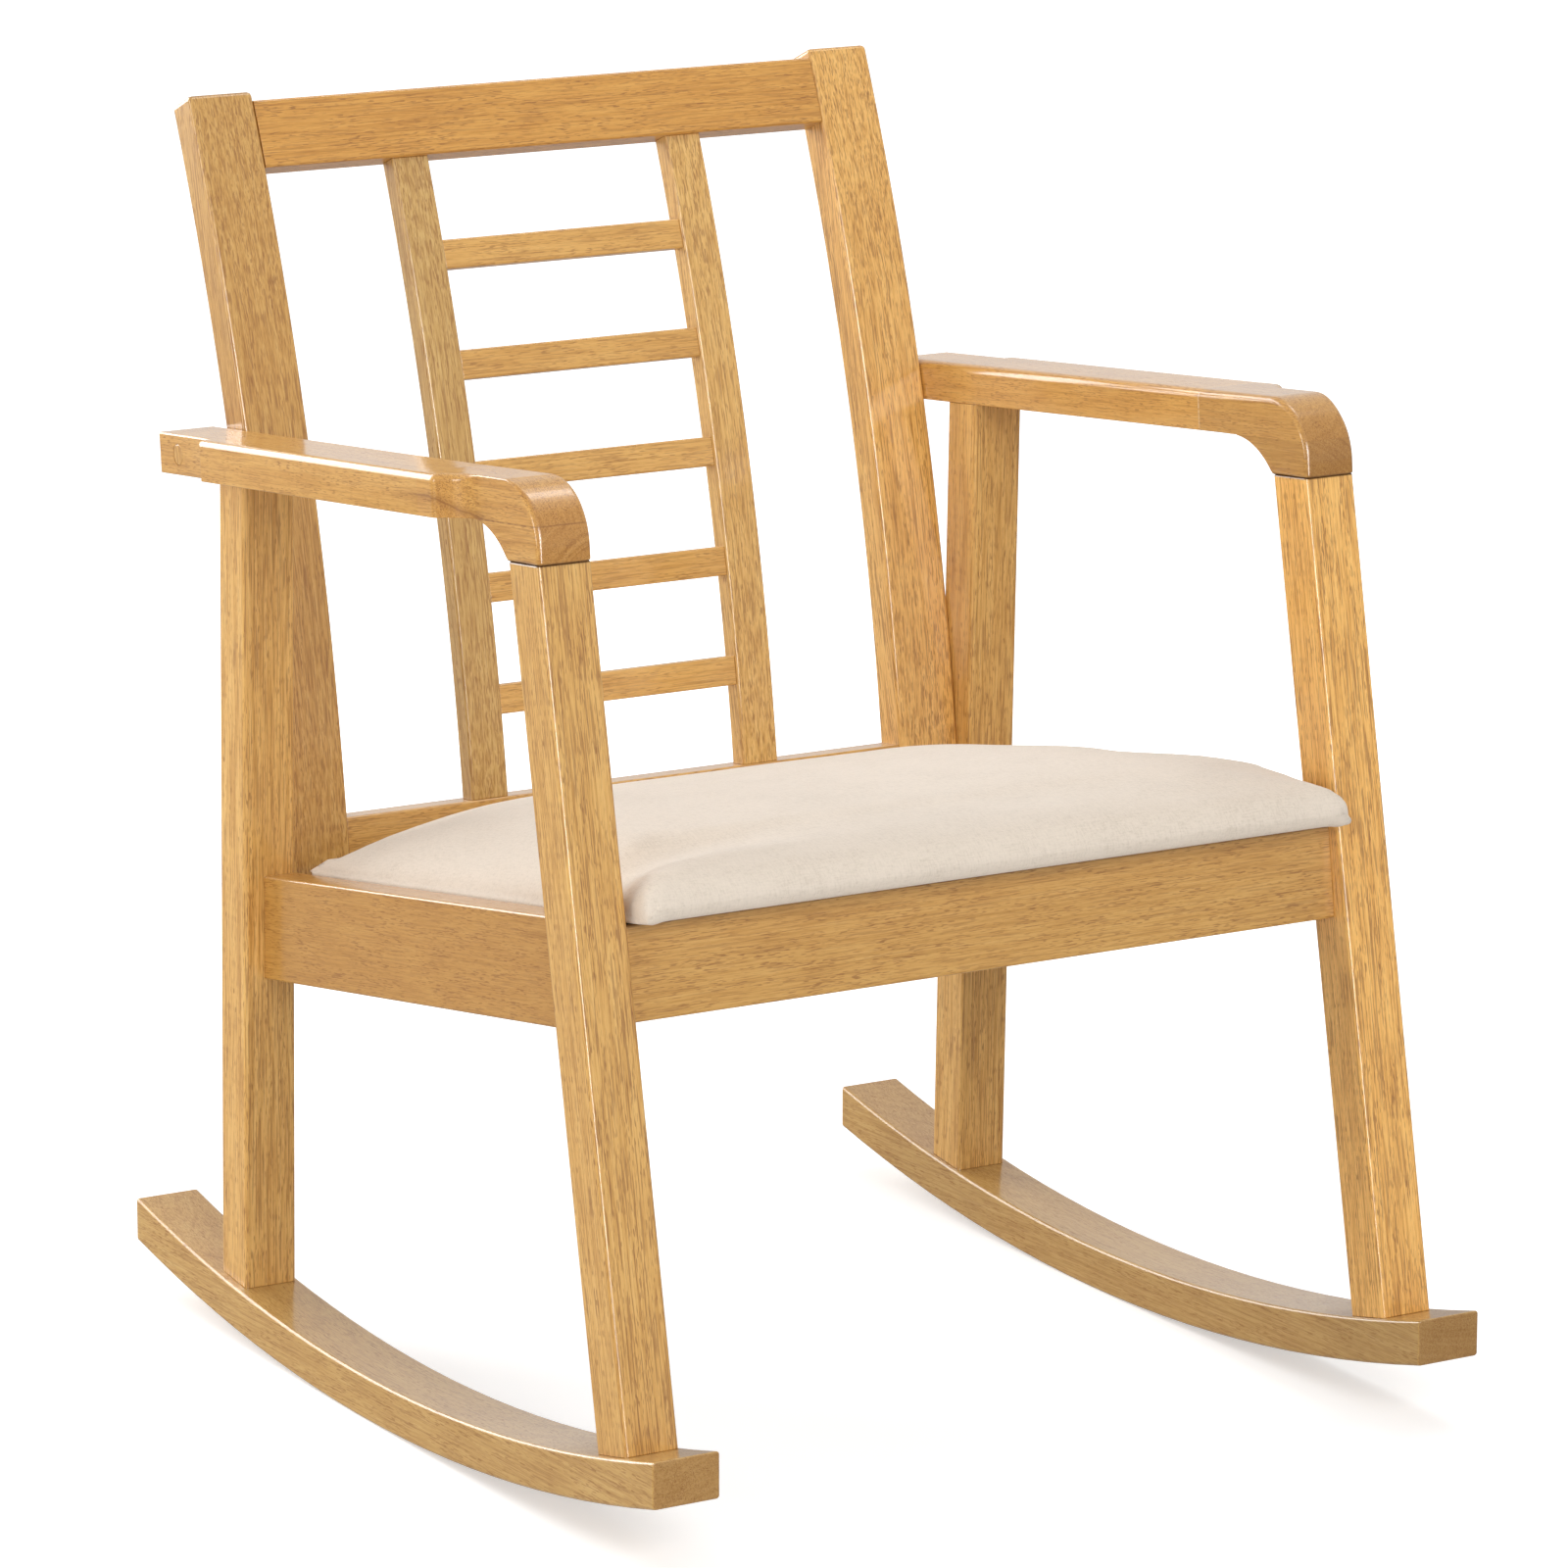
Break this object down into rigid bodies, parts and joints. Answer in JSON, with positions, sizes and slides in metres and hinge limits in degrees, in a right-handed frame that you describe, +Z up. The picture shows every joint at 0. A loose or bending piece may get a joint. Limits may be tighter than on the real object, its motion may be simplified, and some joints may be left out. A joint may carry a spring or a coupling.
{
  "type": "rocking chair",
  "caption": "Wooden rocking chair with raked legs on long curved rockers, level arms, a curved ladder back of thin cross slats between two stiles, and an upholstered drop-in seat.",
  "frame": {"origin": "centre of the bounding box on the floor, on the level of the rockers' lowest points", "axes": "+X to the right seen from the front, the sitter faces -Y, +Z up; left and right in node names are as seen from the front, so left is -X"},
  "size_m": [0.675, 0.77, 0.8802],
  "materials": {
    "oak": "clear satin-gloss lacquer over straight-grained honey-coloured hardwood",
    "plywood": "bare sanded plywood",
    "dowel_wood": "bare fluted beech",
    "foam": "open-cell upholstery foam",
    "linen": "fine woven linen-look cloth",
    "dust_cloth": "thin black non-woven",
    "steel": "zinc-plated"
  },
  "bodies": {
    "root": {"rocker_left": "oak", "rocker_right": "oak", "front_leg_left": "oak", "front_leg_right": "oak", "rear_leg_left": "oak", "rear_leg_right": "oak", "side_rail_left": "oak", "side_rail_right": "oak", "arm_left": "oak", "arm_right": "oak", "arm_nose_left": "oak", "arm_nose_right": "oak", "elbow_block_left": "oak", "elbow_block_right": "oak", "front_rail": "oak", "back_post_left": "oak", "back_post_right": "oak", "top_rail": "oak", "rear_rail": "oak", "back_stile_left": "oak", "back_stile_right": "oak", "back_slat_1": "oak", "back_slat_2": "oak", "back_slat_3": "oak", "back_slat_4": "oak", "back_slat_5": "oak", "seat_board": "plywood", "seat_foam": "foam", "seat_cover": "linen", "dust_cover": "dust_cloth", "seat_cleat_left": "oak", "seat_cleat_right": "oak", "corner_block_left": "oak", "corner_block_right": "oak", "frame_dowels": "dowel_wood", "arm_dowels": "dowel_wood", "front_rail_dowels": "dowel_wood", "back_dowels": "dowel_wood", "arm_bolts": "steel", "arm_plugs": "oak", "post_bolts": "steel", "threaded_inserts": "steel", "cleat_screws": "steel", "seat_screws": "steel", "block_screws": "steel"}
  },
  "joints": []
}
